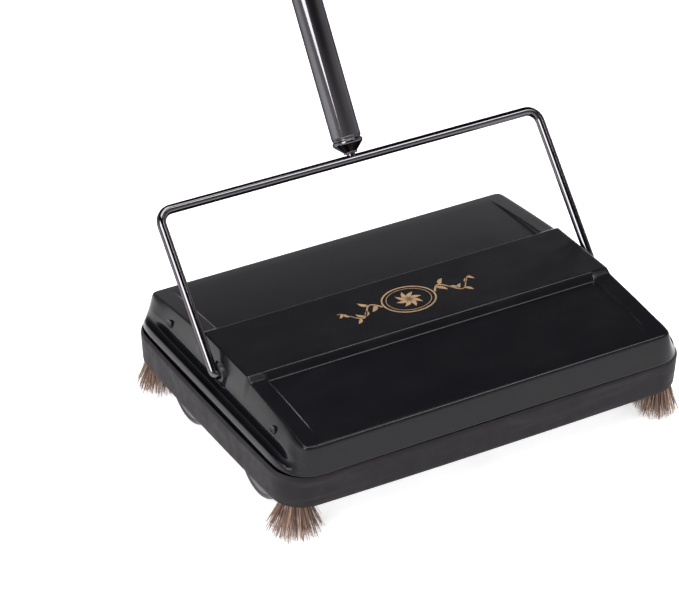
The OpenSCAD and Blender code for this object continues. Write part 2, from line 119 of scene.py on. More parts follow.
def loft(name, rings, material, loop=False):
    """A skin through rings of equal size. loop joins the last ring to the first, else both ends are capped."""
    size = len(rings[0])
    points = [p for ring in rings for p in ring]
    faces = ring_faces(len(rings), size)
    if loop:
        first = (len(rings) - 1) * size
        faces += [(first + i, first + (i + 1) % size, (i + 1) % size, i) for i in range(size)]
    else:
        faces.append(tuple(reversed(range(size))))
        faces.append(tuple(range((len(rings) - 1) * size, len(rings) * size)))
    return new_piece(name, points, faces, material)


def rounded_profile(corners, steps=3):
    """A profile of (radius, height, rounding) corners with an arc of its own rounding at each."""
    points = []
    count = len(corners)
    for i, (r, z, rounding) in enumerate(corners):
        here = Vector((r, z))
        if rounding <= 0 or i in (0, count - 1):
            points.append((r, z))
            continue
        before = (Vector(corners[i - 1][:2]) - here)
        after = (Vector(corners[i + 1][:2]) - here)
        reach = min(rounding, before.length * 0.49, after.length * 0.49)
        start, end = here + before.normalized() * reach, here + after.normalized() * reach
        for k in range(steps + 1):
            t = k / steps
            mid = start * (1 - t) ** 2 + here * 2 * t * (1 - t) + end * t * t
            points.append((mid.x, mid.y))
    return points


def lathe(name, profile, place, material, steps=96, ribs=None):
    """Turns a closed profile of (radius, height) about place's Z. ribs(height, angle) may trim the radius."""
    rings = []
    for k in range(steps):
        angle = 2 * math.pi * k / steps
        ring = []
        for r, z in profile:
            radius = r - (ribs(r, z, angle) if ribs else 0)
            ring.append(place @ (Vector((radius * math.cos(angle), radius * math.sin(angle), z)) * MM) / MM)
        rings.append(ring)
    return loft(name, rings, material, loop=True)


def sweep(name, path, radius, material, sides=32):
    """A round wire along a path of points."""
    rings = []
    side = Vector((0, 1, 0))
    for i, point in enumerate(path):
        along = (path[min(i + 1, len(path) - 1)] - path[max(i - 1, 0)]).normalized()
        side = (side - along * side.dot(along)).normalized()
        up = along.cross(side)
        rings.append([point + radius * (math.cos(a) * side + math.sin(a) * up)
                      for a in (2 * math.pi * k / sides for k in range(sides))])
    return loft(name, rings, material)


def add_modifiers(piece, thickness=0, subdivide=0):
    if subdivide:
        modifier = piece.modifiers.new("subdivide", "SUBSURF")
        modifier.levels = modifier.render_levels = subdivide
    if thickness:
        modifier = piece.modifiers.new("thickness", "SOLIDIFY")
        modifier.thickness = thickness * MM
        modifier.offset = -1
    return piece


def place_piece(piece, body, slot, *nodes):
    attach(piece, body)
    if nodes:
        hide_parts(*nodes)
    return piece


# ---------------------------------------------------------------- materials

class Shader:
    """A material's node tree with short calls for the nodes that the finishes share."""

    def __init__(self, name):
        self.material = bpy.data.materials.new(name)
        self.material.use_nodes = True
        self.tree = self.material.node_tree
        self.principled = self.tree.nodes["Principled BSDF"]
        self.place = self.tree.nodes.new("ShaderNodeTexCoord").outputs["Object"]

    def set(self, **values):
        for key, value in values.items():
            self.principled.inputs[key.replace("_", " ")].default_value = value
        return self

    def link(self, source, target):
        self.tree.links.new(source, target)

    def noise(self, scale, detail=4, roughness=0.55, stretch=(1, 1, 1), place=None):
        mapping = self.tree.nodes.new("ShaderNodeMapping")
        mapping.inputs["Scale"].default_value = stretch
        self.link(place or self.place, mapping.inputs["Vector"])
        node = self.tree.nodes.new("ShaderNodeTexNoise")
        node.inputs["Scale"].default_value = scale
        node.inputs["Detail"].default_value = detail
        node.inputs["Roughness"].default_value = roughness
        self.link(mapping.outputs["Vector"], node.inputs["Vector"])
        return node.outputs["Fac"]

    def range(self, value, from_low, from_high, to_low, to_high):
        node = self.tree.nodes.new("ShaderNodeMapRange")
        limits = {"From Min": from_low, "From Max": from_high, "To Min": to_low, "To Max": to_high}
        for key, number in limits.items():
            node.inputs[key].default_value = number
        self.link(value, node.inputs["Value"])
        return node.outputs["Result"]

    def math(self, operation, a, b):
        node = self.tree.nodes.new("ShaderNodeMath")
        node.operation = operation
        for socket, value in zip(node.inputs, (a, b)):
            if isinstance(value, (int, float)):
                socket.default_value = value
            else:
                self.link(value, socket)
        return node.outputs["Value"]

    def mix(self, factor, a, b):
        node = self.tree.nodes.new("ShaderNodeMix")
        node.data_type = "RGBA"
        self.link(factor, node.inputs["Factor"])
        for socket, value in ((node.inputs["A"], a), (node.inputs["B"], b)):
            if isinstance(value, tuple):
                socket.default_value = (*value, 1)
            else:
                self.link(value, socket)
        return node.outputs["Result"]

    def edges(self, low=0.52, high=0.6):
        """1 on sharp outer edges and 0 elsewhere."""
        return self.range(self.tree.nodes.new("ShaderNodeNewGeometry").outputs["Pointiness"], low, high, 0, 1)

    def colour(self, value):
        self.link(value, self.principled.inputs["Base Color"])
        return self

    def roughness(self, value):
        self.link(value, self.principled.inputs["Roughness"])
        return self

    def bump(self, height, distance, strength=1.0):
        node = self.tree.nodes.new("ShaderNodeBump")
        node.inputs["Strength"].default_value = strength
        node.inputs["Distance"].default_value = distance
        self.link(height, node.inputs["Height"])
        self.link(node.outputs["Normal"], self.principled.inputs["Normal"])
        return self


def black_enamel():
    """Stoved black enamel on sheet steel: faint orange peel, slightly worn and greyer along the edges."""
    s = Shader("black_enamel").set(Specular_IOR_Level=0.20, Coat_Weight=0.08, Coat_Roughness=0.08)
    wear = s.math("MULTIPLY", s.edges(), s.range(s.noise(90), 0.4, 0.7, 0, 0.6))
    tone = s.mix(s.noise(14), (0.0030, 0.0029, 0.0042), (0.0046, 0.0044, 0.0058))
    s.colour(s.mix(wear, tone, (0.06, 0.058, 0.06)))
    s.roughness(s.range(s.noise(30, stretch=(1, 2, 1)), 0.3, 0.7, 0.19, 0.26))
    return s.bump(s.noise(420, detail=2), 0.00004, 0.35).material


def soft_vinyl():
    """Matte extruded vinyl with a fine grain and scuffs that follow its length."""
    s = Shader("soft_vinyl").set(Specular_IOR_Level=0.12)
    scuff = s.range(s.noise(60, stretch=(0.4, 0.4, 3)), 0.5, 0.75, 0, 0.5)
    tone = s.mix(s.noise(22), (0.0105, 0.0086, 0.0105), (0.0145, 0.0120, 0.0145))
    s.colour(s.mix(scuff, tone, (0.030, 0.028, 0.030)))
    s.roughness(s.range(s.noise(120), 0.3, 0.7, 0.5, 0.66))
    return s.bump(s.noise(900, detail=3), 0.00006, 0.5).material


def black_chrome():
    """Bright black chrome on drawn steel: long faint draw lines, cloudy roughness."""
    s = Shader("black_chrome").set(Metallic=1.0, Specular_Tint=(0.25, 0.25, 0.26, 1))
    s.colour(s.mix(s.noise(35), (0.085, 0.082, 0.088), (0.125, 0.12, 0.128)))
    s.roughness(s.range(s.noise(50, stretch=(3, 1, 1)), 0.3, 0.7, 0.06, 0.13))
    return s.bump(s.noise(500, detail=2, stretch=(4, 0.3, 0.3)), 0.00002, 0.2).material


def zinc_plate():
    """Bright zinc over pressed steel: pale spangle, dull patches and a little grime scattered at random."""
    s = Shader("zinc_plate").set(Metallic=1.0)
    cell = s.tree.nodes.new("ShaderNodeTexVoronoi")
    cell.inputs["Scale"].default_value = 130
    s.link(s.place, cell.inputs["Vector"])
    spangle = s.range(cell.outputs["Distance"], 0, 0.7, 0, 1)
    tone = s.mix(spangle, (0.42, 0.43, 0.44), (0.56, 0.57, 0.58))
    s.colour(s.mix(s.range(s.noise(40), 0.52, 0.75, 0, 0.6), tone, (0.22, 0.21, 0.2)))
    s.roughness(s.range(s.noise(90), 0.3, 0.7, 0.28, 0.48))
    return s.bump(s.noise(600), 0.00003, 0.3).material


def moulded_plastic(name, dark, light, rough=(0.34, 0.48)):
    """Moulded plastic with a fine spark texture, greyer on its edges."""
    s = Shader(name).set(Specular_IOR_Level=0.45)
    tone = s.mix(s.noise(45), dark, light)
    s.colour(s.mix(s.math("MULTIPLY", s.edges(), 0.5), tone, tuple(3 * c for c in light)))
    s.roughness(s.range(s.noise(150), 0.3, 0.7, *rough))
    return s.bump(s.noise(1500, detail=2), 0.00003, 0.5).material


def rubber(name, dark, light, dust):
    """Rubber with dust and a dull bloom, scattered at random."""
    s = Shader(name).set(Specular_IOR_Level=0.4, Sheen_Weight=0.15, Sheen_Roughness=0.5)
    bloom = s.range(s.noise(26, detail=6), 0.45, 0.75, 0, 0.7)
    s.colour(s.mix(bloom, s.mix(s.noise(120), dark, light), dust))
    s.roughness(s.range(s.noise(80), 0.3, 0.7, 0.45, 0.7))
    return s.bump(s.noise(700, detail=3), 0.00005, 0.5).material


# Share of the strands up to each tone, between the darkest and the palest
HAIR_TONES = ((0.25, (0.10, 0.052, 0.038)), (0.5, (0.24, 0.132, 0.094)), (0.75, (0.42, 0.265, 0.19)))


def horsehair():
    """Bristle: each strand has its own brown, from straw to nearly black."""
    s = Shader("horsehair").set(Specular_IOR_Level=0.5)
    strand = s.tree.nodes.new("ShaderNodeNewGeometry").outputs["Random Per Island"]
    ramp = s.tree.nodes.new("ShaderNodeValToRGB")
    stops = ramp.color_ramp.elements
    stops[0].color = (0.030, 0.018, 0.014, 1)
    stops[1].color = (0.52, 0.36, 0.27, 1)
    for place, colour in HAIR_TONES:
        stops.new(place).color = (*colour, 1)
    s.link(strand, ramp.inputs["Fac"])
    s.colour(s.mix(s.range(s.noise(220), 0.4, 0.8, 0, 0.35), ramp.outputs["Color"], (0.05, 0.03, 0.02)))
    s.roughness(s.range(s.noise(300), 0.3, 0.7, 0.4, 0.6))
    return s.bump(s.noise(2500), 0.00003, 0.4).material


def gold_print():
    """Dull gold ink, thin and slightly uneven."""
    s = Shader("gold_print").set(Specular_IOR_Level=0.5, Metallic=0.55)
    s.colour(s.mix(s.noise(140), (0.34, 0.21, 0.11), (0.50, 0.34, 0.19)))
    s.roughness(s.range(s.noise(200), 0.3, 0.7, 0.35, 0.55))
    return s.bump(s.noise(1400), 0.00002, 0.4).material


def pale_floor():
    s = Shader("pale_floor").set(Specular_IOR_Level=0.2)
    s.set(Emission_Color=(1, 1, 1, 1), Emission_Strength=0.6)
    s.colour(s.mix(s.noise(3), (0.86, 0.86, 0.86), (0.89, 0.89, 0.89)))
    s.roughness(s.range(s.noise(8), 0.3, 0.7, 0.6, 0.75))
    return s.bump(s.noise(300), 0.0001, 0.1).material


ENAMEL = black_enamel()
VINYL = soft_vinyl()
CHROME = black_chrome()
ZINC = zinc_plate()
PLASTIC = moulded_plastic("black_plastic", (0.014, 0.014, 0.016), (0.022, 0.022, 0.024))
ROTOR_PLASTIC = moulded_plastic(
    "rotor_plastic", (0.016, 0.019, 0.023), (0.028, 0.032, 0.037), (0.4, 0.55))
BLADE_RUBBER = rubber("blade_rubber", (0.020, 0.030, 0.040), (0.035, 0.048, 0.060), (0.10, 0.12, 0.13))
TREAD_RUBBER = rubber("tread_rubber", (0.034, 0.031, 0.036), (0.048, 0.044, 0.050), (0.085, 0.080, 0.082))
WHEEL_PLASTIC = moulded_plastic("wheel_plastic", (0.040, 0.036, 0.042), (0.056, 0.051, 0.058), (0.45, 0.6))
HAIR = horsehair()
GOLD = gold_print()

# ---------------------------------------------------------------- top cover

RIM_X, RIM_Y, BAND_Z = cover_high
RIM_CORNER = 23
BAND_Y = 29.4
STEP, RAMP = 2.4, 4.4         # height of the band over the panels at their ends, and the width of its slope
FIELD_X, FIELD_DEPTH, FIELD_END = 124, 2.6, 96
EDGE_Y, EDGE_Z, END_X = 104.9, 68.0, 136.6
RIM_Z, FOOT_Z = 49.3, 61.5    # the rim on the plain faces, and the crease low on the end walls
SLOT_Y = 8                    # half the width of the slot for the bail's foot
TOP_CORNER = 5                # rounding of the top's corners, seen from above
TOP_XS = (0, 22, 44, 66, 86, 102, 113, 119, 121.8, 123.1, 123.7, 124.3, 124.9, 126.2, 129, 132, 134.2,
          135.2, 135.9, 136.35)
TOP_YS = (0, 4, SLOT_Y, 12, 18, 24, 27.4, 28.7, 29.3, 29.8, 31.6, 33.5, 34.0, 34.9, 38, 46, 55, 64, 73,
          82, 90, 96, 99.9, 102.2, 103.6, 104.35)

# One row a loop, from the top edge down to the hidden return. Each side gives how far out it has come
# (0 at the top edge, 1 at the rim) and its level: up to 1 a share of the way down, above that a height.
COVER_LOOPS = (
    # out at the ends, level there, out on the faces, level there
    (0.020, 0.045, 0.100, 0.027),
    (0.060, 0.150, 0.168, 0.063),
    (0.110, 0.300, 0.248, 0.134),
    (0.165, 0.470, 0.310, 0.210),
    (0.220, 0.660, 0.366, 0.270),
    (0.275, 0.850, 0.430, 0.345),
    (0.315, 1.000, 0.490, 0.415),
    (0.350, 60.60, 0.545, 0.480),
    (0.375, 58.30, 0.600, 0.545),
    (0.400, 55.40, 0.650, 0.605),
    (0.440, 53.50, 0.700, 0.660),
    (0.530, 52.60, 0.740, 0.710),
    (0.660, 52.40, 0.780, 0.755),
    (0.770, 52.90, 0.820, 0.800),
    (0.835, 54.00, 0.855, 0.840),
    (0.875, 54.90, 0.890, 0.880),
    (0.915, 55.00, 0.920, 0.915),
    (0.955, 54.00, 0.945, 0.945),
    (0.985, 51.80, 0.970, 0.970),
    (1.000, 50.40, 1.000, 1.000),
    (0.985, 49.50, 0.980, 48.80),
    (0.950, 49.10, 0.900, 48.50),
    (0.930, 47.50, 0.620, 47.50),
    (0.930, 27.00, 0.420, 27.00),
)
SLOT_LOOPS = range(4, 9)      # the loops between which the slot is open


def both_ways(half):
    return [-v for v in reversed(half[1:])] + list(half)


def top_height(x, y):
    """Height of the top: the band, then panels that fall to the front and rear, each with a sunken field."""
    ax, ay = abs(x), abs(y)
    along = (ay - BAND_Y) / (EDGE_Y - BAND_Y)
    panel = lerp(BAND_Z - STEP, EDGE_Z, along)
    panel += 0.5 * math.sin(math.pi * min(max(along, 0), 1))
    inside = 1 - smoothstep(FIELD_X - 0.6, FIELD_X + 0.6, ax)
    panel -= FIELD_DEPTH * inside * min(max((FIELD_END - ay) / (FIELD_END - BAND_Y - RAMP), 0), 1)
    height = lerp(BAND_Z, panel, min(max((ay - BAND_Y) / RAMP, 0), 1))
    height -= 0.41 * min(max((ay - 102.9) / 1.45, 0), 1) ** 2
    return height - 0.25 * min(max((ax - 135.1) / 1.25, 0), 1) ** 2


def down_to(top, foot, level):
    return lerp(top, foot, level) if level <= 1 else level


def rounded_corner(x, y, hx, hy, reach):
    """Moves a point of a square corner onto a round one of the same reach."""
    u, v = (abs(x) - (hx - reach)) / reach, (abs(y) - (hy - reach)) / reach
    if u <= 0 or v <= 0:
        return x, y
    return (math.copysign(hx - reach + reach * u * math.sqrt(1 - v * v / 2), x),
            math.copysign(hy - reach + reach * v * math.sqrt(1 - u * u / 2), y))


def rim_point(x, y):
    """The point of the rim below a point of the top's edge. Works in one quarter, then mirrors."""
    ax, ay = abs(x), abs(y)
    flat_x, flat_y = RIM_X - RIM_CORNER, RIM_Y - RIM_CORNER
    top_x, top_y = END_X - TOP_CORNER, EDGE_Y - TOP_CORNER
    free_x, free_y = 116, 76
    turn_end, turn_start = math.radians(50), math.radians(76)
    if ay <= top_y:
        reach = flat_y - free_y + RIM_CORNER * turn_end
        run = max(ay - free_y, 0) / (top_y - free_y) * reach
        if ay <= free_y:
            px, py = RIM_X, ay
        elif run <= flat_y - free_y:
            px, py = RIM_X, free_y + run
        else:
            angle = (run - (flat_y - free_y)) / RIM_CORNER
            px, py = flat_x + RIM_CORNER * math.cos(angle), flat_y + RIM_CORNER * math.sin(angle)
    elif ax <= top_x:
        reach = flat_x - free_x + RIM_CORNER * (math.pi / 2 - turn_start)
        run = max(ax - free_x, 0) / (top_x - free_x) * reach
        if ax <= free_x:
            px, py = ax, RIM_Y
        elif run <= flat_x - free_x:
            px, py = free_x + run, RIM_Y
        else:
            angle = math.pi / 2 - (run - (flat_x - free_x)) / RIM_CORNER
            px, py = flat_x + RIM_CORNER * math.cos(angle), flat_y + RIM_CORNER * math.sin(angle)
    else:
        turn = math.atan2(ay - top_y, ax - top_x) / (math.pi / 2)
        angle = lerp(turn_end, turn_start, turn)
        px, py = flat_x + RIM_CORNER * math.cos(angle), flat_y + RIM_CORNER * math.sin(angle)
    return math.copysign(px, x), math.copysign(py, y)


def top_cover():
    xs, ys = both_ways(TOP_XS), both_ways(TOP_YS)
    columns = len(xs)
    points = []
    for y in ys:
        for x in xs:
            px, py = rounded_corner(x, y, END_X, EDGE_Y, TOP_CORNER)
            points.append((px, py, top_height(x, y)))
    faces = [(j * columns + i, j * columns + i + 1, (j + 1) * columns + i + 1, (j + 1) * columns + i)
             for j in range(len(ys) - 1) for i in range(columns - 1)]
    last_row = (len(ys) - 1) * columns
    edge = list(range(columns - 1)) + [j * columns + columns - 1 for j in range(len(ys) - 1)]
    edge += [last_row + i for i in range(columns - 1, 0, -1)]
    edge += [j * columns for j in range(len(ys) - 1, 0, -1)]
    count = len(edge)
    before = edge
    for turn, (out_end, level_end, out_face, level_face) in enumerate(COVER_LOOPS):
        first = len(points)
        for index in edge:
            x, y, z = points[index]
            rx, ry = rim_point(x, y)
            along_end = smoothstep(END_X - TOP_CORNER, END_X - 0.5, abs(x))
            trough = along_end * (1 - smoothstep(84, 96, abs(y)))
            out = lerp(out_face, out_end, trough)
            height = lerp(down_to(z, RIM_Z, level_face), down_to(z, FOOT_Z, level_end), trough)
            points.append((lerp(x, rx, out), lerp(y, ry, out), height))
        ring = list(range(first, first + count))
        for i in range(count):
            near, far = points[edge[i]], points[edge[(i + 1) % count]]
            at_slot = max(abs(near[1]), abs(far[1])) < SLOT_Y + 0.1 and turn in SLOT_LOOPS
            if not at_slot:
                faces.append((before[i], ring[i], ring[(i + 1) % count], before[(i + 1) % count]))
        before = ring
    piece = new_piece("cover_shell", points, faces, ENAMEL)
    add_modifiers(piece, subdivide=2, thickness=0.9)
    return place_piece(piece, "case", "black_enamel", "top_cover")


# ---------------------------------------------------------------- the rest of the case

def bowed_outline(hx, hy, corner, bow, side_points=14, corner_points=9):
    """A rounded rectangle whose sides swell by bow at their middles."""
    points = []
    for turn in range(4):
        long_side = turn % 2 == 0
        half, other = (hx, hy) if long_side else (hy, hx)
        for i in range(side_points):
            s = -(half - corner) + 2 * (half - corner) * i / side_points
            swell = bow * (1 - (s / half) ** 2)
            points.append(Matrix.Rotation(turn * math.pi / 2, 2) @ Vector((s, -(other - bow) - swell)))
        for i in range(corner_points):
            a = math.pi / 2 * i / corner_points
            swell = bow * (1 - ((half - corner) / half) ** 2) * (1 - i / corner_points)
            swell_next = bow * (1 - ((other - corner) / other) ** 2) * (i / corner_points)
            x = half - bow - corner + corner * math.sin(a) + swell_next + bow * (1 - i / corner_points)
            y = -(other - bow - corner) - corner * math.cos(a) - swell
            points.append(Matrix.Rotation(turn * math.pi / 2, 2) @ Vector((x, y)))
    return points


# Bumper section, from the inner edge of the lower flange, round the outside, to inside the top lip:
# how far in from the widest line at the ends and at the front, and the height.
BUMPER_SECTION = (
    (4.9, 3.7, 26.2), (4.9, 3.7, 24.7), (4.6, 3.4, 24.4), (2.6, 2.4, 24.4), (1.6, 1.7, 24.6),
    (1.1, 1.3, 25.2), (0.9, 1.1, 27.0), (0.55, 0.7, 34.0), (0.15, 0.25, 42.0), (0.0, 0.0, 45.0),
    (0.05, 0.0, 45.8), (0.4, 0.15, 46.5), (0.8, 0.3, 47.2), (1.1, 0.45, 47.8), (1.4, 0.8, 48.1),
    (1.7, 1.3, 47.8), (2.0, 1.7, 46.5), (2.4, 2.2, 44.6), (3.5, 3.4, 43.2), (3.5, 3.4, 26.6)
)


def bumper():
    bow = 1.6
    rings = []
    for in_x, in_y, z in BUMPER_SECTION:
        corner = 23.5 - (in_x + in_y) / 2
        outline = bowed_outline(bumper_high.x - in_x, bumper_high.y - in_y, corner, bow)
        rings.append([(p.x, p.y, z) for p in outline])
    piece = loft("bumper_strip", rings, VINYL, loop=True)
    add_modifiers(piece, subdivide=1)
    return place_piece(piece, "case", "bumper_vinyl", "bumper")


def x_place(side, x, y, z):
    """A frame whose Z runs outward along X on the given side."""
    outward = Matrix.Rotation(side * math.pi / 2, 4, "Y")
    return Matrix.Translation(Vector((side * x, y, z)) * MM) @ outward


# How far each tuft has worn outward, against the width of its CAD brush
SPLAY = {"front_left": 1.24, "front_right": 0.98, "rear_left": 1.12, "rear_right": 1.05}


def corner_brush(name, side, row):
    """A tuft of bristle: a bound root that splays out to the floor, with stray strands."""
    node = f"{name}_brush"
    low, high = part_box(node)
    centre = (low + high) / 2 / MM
    rng = random.Random(11 + side + 3 * row)
    root_r = 5.6
    tip_r = SPLAY[name] * (high.x - low.x) / 2 / MM
    root_z = high.z / MM
    points, faces = [], []
    for strand in range(560):
        angle = rng.uniform(0, 2 * math.pi)
        share = math.sqrt(rng.random())
        spread = share ** 0.8 * rng.uniform(0.9, 1.05)
        start = Vector((math.cos(angle), math.sin(angle), 0)) * root_r * share
        tip_angle = angle + rng.uniform(-0.25, 0.25)
        reach = tip_r * spread * rng.uniform(0.88, 1.0)
        tip_z = rng.uniform(0.2, 2.6) + 3.4 * spread * rng.random()
        tip = Vector((math.cos(tip_angle), math.sin(tip_angle), 0)) * reach
        bend = rng.uniform(0.25, 0.6)
        thick = rng.uniform(0.20, 0.38)
        rings = []
        for k in range(7):
            t = k / 6
            out = t ** (0.8 + bend / 2)
            flat = start.lerp(tip, out)
            z = root_z + (tip_z - root_z) * (t ** 0.92)
            wave = Vector((math.sin(9 * t + strand), math.cos(7 * t + 2 * strand), 0)) * 0.22 * t
            rings.append(centre.xy.to_3d() + flat + wave + Vector((0, 0, z)))
        first = len(points)
        for k, ring in enumerate(rings):
            radius = thick * (1 - 0.55 * k / 6)
            for c in range(3):
                a = 2 * math.pi * c / 3 + strand
                points.append(ring + Vector((math.cos(a), math.sin(a), 0)) * radius)
        for k in range(6):
            for c in range(3):
                a, b = first + 3 * k + c, first + 3 * k + (c + 1) % 3
                faces.append((a, b, b + 3, a + 3))
        faces.append((first, first + 2, first + 1))
        faces.append((first + 18, first + 19, first + 20))
    piece = new_piece(f"{node}_bristles", points, faces, HAIR)
    return place_piece(piece, "case", "horsehair", node)


def ornament():
    """A plain printed ornament on the band: a rosette in a ring between two leafy sprays."""
    points, faces = [], []
    z = BAND_Z + 0.06

    def ribbon(path, widths):
        first = len(points)
        for i, p in enumerate(path):
            along = (path[min(i + 1, len(path) - 1)] - path[max(i - 1, 0)]).normalized()
            across = Vector((-along.y, along.x)) * widths[i] / 2
            points.append((p.x + across.x, p.y + across.y, z))
            points.append((p.x - across.x, p.y - across.y, z))
        for i in range(len(path) - 1):
            a = first + 2 * i
            faces.append((a, a + 1, a + 3, a + 2))

    def leaf(base, angle, length, width):
        steps = 10
        direction = Vector((math.cos(angle), math.sin(angle)))
        side = Vector((-direction.y, direction.x))
        path = [base + direction * length * i / steps + side * 0.12 * length * math.sin(math.pi * i / steps)
                for i in range(steps + 1)]
        ribbon(path, [max(width * math.sin(math.pi * (i / steps) ** 0.8), 0.05) for i in range(steps + 1)])

    for radius, width in ((15.0, 1.1), (12.6, 0.45)):
        steps = 64
        circle = [Vector((1.25 * math.cos(a), math.sin(a))) * radius for a in
                  (2 * math.pi * i / steps for i in range(steps + 1))]
        ribbon(circle, [width] * (steps + 1))
    for k in range(8):
        leaf(Vector((0, 0)), k * math.pi / 4, 9.6, 3.2)
    for side in SIDES.values():
        steps = 30
        stem = [Vector((side * (20 + 31 * i / steps), 6.0 * math.sin(2.6 * math.pi * i / steps)))
                for i in range(steps + 1)]
        ribbon(stem, [lerp(1.4, 0.4, i / steps) for i in range(steps + 1)])
        for i in range(3, steps, 4):
            up = 1 if (i // 4) % 2 else -1
            angle = (0 if side > 0 else math.pi) + side * up * 0.85
            leaf(stem[i], angle, lerp(9, 5, i / steps), lerp(3.4, 2.0, i / steps))
    piece = new_piece("band_ornament", points, faces, GOLD, smooth=False)
    add_modifiers(piece, thickness=0.05)
    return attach(piece, "case")


# ---------------------------------------------------------------- running gear

def rotor_blades():
    """One rubber sleeve with six flared fins, slightly twisted and chamfered at both ends."""
    _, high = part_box("rotor_blades")
    half = high.x / MM
    tip, valley, chamfer = 30.5, 10.4, 9.4
    fins, twist = 6, math.radians(24)
    section = []
    for k in range(fins):
        middle = 2 * math.pi * k / fins
        for offset, r in ((-30, valley), (-22, valley + 0.2), (-15, valley + 1.2), (-9.2, 15), (-4.6, 21),
                          (-2.6, 27), (-2.1, tip - 0.7), (-1.2, tip), (1.2, tip), (2.1, tip - 0.7), (2.6, 27),
                          (4.6, 21), (9.2, 15), (15, valley + 1.2), (22, valley + 0.2)):
            section.append((middle + math.radians(offset), r))
    stations = [-half, -half + 0.4]
    stations += [lerp(-half + 2, half - 2, i / 44) for i in range(45)]
    stations += [half - 0.4, half]
    rings = []
    for x in stations:
        from_end = half - abs(x)
        limit = lerp(17.0, tip + 1, min(from_end / chamfer, 1))
        turn = twist * x / (2 * half)
        rings.append([(x, min(r, limit) * math.cos(a + turn),
                       ROTOR_CENTRE.z / MM + min(r, limit) * math.sin(a + turn)) for a, r in section])
    piece = loft("blade_sleeve", rings, BLADE_RUBBER)
    return place_piece(piece, "rotor", "blade_rubber", "rotor_blades")


def ribbed(count, depth, low, high):
    """Trims the radius into count ribs between two heights, for faces beyond a given radius."""
    def trim(r, z, angle):
        if not low <= z <= high or r < 15:
            return 0
        return depth * smoothstep(0.25, 0.6, abs((angle * count / (2 * math.pi)) % 1 - 0.5) * 2)
    return trim


def drive_ring(side_name, side):
    node = f"{side_name}_drive_ring"
    low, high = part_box(node)
    near, far = sorted((abs(low.x / MM), abs(high.x / MM)))
    width = far - near
    radius = (high.z - low.z) / 2 / MM
    wall = radius - 3.6
    profile = rounded_profile([
        (2.5, 0, 0), (radius - 1.4, 0, 0), (radius, 1.4, 0.7), (radius, width - 1.0, 0.5),
        (radius - 0.9, width, 0.4), (wall + 0.3, width, 0.3), (wall, width - 0.6, 0.3), (wall - 0.6, 3.6, 0.8),
        (6.9, 3.4, 0.6), (6.5, 7.0, 0.4), (2.9, 7.0, 0.3), (2.5, 6.6, 0)
    ])
    place = x_place(side, near, 0, ROTOR_CENTRE.z / MM)
    ribs = ribbed(96, 0.45, 1.2, width - 0.8)
    piece = lathe(node + "_ribbed", profile, place, ROTOR_PLASTIC, steps=96 * 4, ribs=ribs)
    return place_piece(piece, "rotor", "rotor_plastic", node)


def tyre(name, side):
    node = f"{name}_tyre"
    low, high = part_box(node)
    centre = (low + high) / 2 / MM
    radius = (high.z - low.z) / 2 / MM
    half = (high.x - low.x) / 2 / MM
    profile = rounded_profile([
        (radius - 3.5, -half, 0), (radius - 1.2, -half, 0.4), (radius, -half + 1.3, 0.9),
        (radius, half - 1.3, 0.9), (radius - 1.2, half, 0.4), (radius - 3.5, half, 0)
    ])
    place = x_place(side, abs(centre.x), centre.y, centre.z)
    grooves = ribbed(80, 0.5, -half + 1.5, half - 1.5)
    piece = lathe(node + "_tread", profile, place, TREAD_RUBBER, steps=80 * 4, ribs=grooves)
    return place_piece(piece, f"{name}_wheel", "tread_rubber", node)


# ---------------------------------------------------------------- handle

def bail():
    """The wire bail: inturned feet, straight legs, round corners."""
    _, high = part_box("bail")
    leg_x = high.x / MM - WIRE
    reach = BAIL_REACH
    bend, foot = 9, 3.5
    half = [Vector((131, 0, 0)), Vector((135, 0, 0))]
    half += [Vector((leg_x - foot + foot * math.sin(a), 0, foot - foot * math.cos(a)))
             for a in (math.pi / 2 * i / 8 for i in range(9))]
    half += [Vector((leg_x, 0, lerp(foot, reach - bend, i / 6))) for i in range(1, 6)]
    half += [Vector((leg_x - bend + bend * math.cos(a), 0, reach - bend + bend * math.sin(a)))
             for a in (math.pi / 2 * i / 12 for i in range(13))]
    half += [Vector(((leg_x - bend) * (1 - i / 8), 0, reach)) for i in range(1, 8)]
    path = [Vector((-p.x, p.y, p.z)) for p in half] + [Vector((0, 0, reach))] + list(reversed(half))
    piece = sweep("bail_wire", [BAIL_FRAME @ (p * MM) / MM for p in path], WIRE, CHROME)
    return place_piece(piece, "handle", "black_chrome", "bail")


def handle_lathe(name, node, profile, material, slot):
    piece = lathe(name, profile, TUBE_FRAME, material)
    return place_piece(piece, "handle", slot, node)


def handle_parts():
    tube_r = 10.0
    start, _ = span("handle_ferrule", BAR, TUBE_AXIS)
    lower_start, _ = span("lower_tube", BAR, TUBE_AXIS)
    handle_lathe("ferrule_turned", "handle_ferrule", rounded_profile([
        (3.0, start, 0), (4.6, start, 0.3), (4.6, start + 1.2, 0.6), (tube_r - 0.3, start + 6.2, 1.0),
        (tube_r + 0.3, start + 7.1, 0.5), (tube_r + 0.3, lower_start - 2.7, 0.4),
        (tube_r - 0.6, lower_start - 2.0, 0.3),
        (tube_r - 0.6, lower_start - 1.2, 0.3), (tube_r, lower_start - 0.7, 0.3), (tube_r, lower_start, 0),
        (9.2, lower_start, 0), (9.2, lower_start + 6, 0), (3.0, lower_start + 6, 0)
    ]), CHROME, "black_chrome")
    for name in ("lower", "middle", "upper"):
        low, high = span(f"{name}_tube", BAR, TUBE_AXIS)
        handle_lathe(f"{name}_tube_drawn", f"{name}_tube", rounded_profile([
            (9.25, low, 0), (tube_r, low, 0.5), (tube_r, high, 0.5), (9.25, high, 0)
        ]), CHROME, "black_chrome")


# ---------------------------------------------------------------- CAD nodes that keep their shape

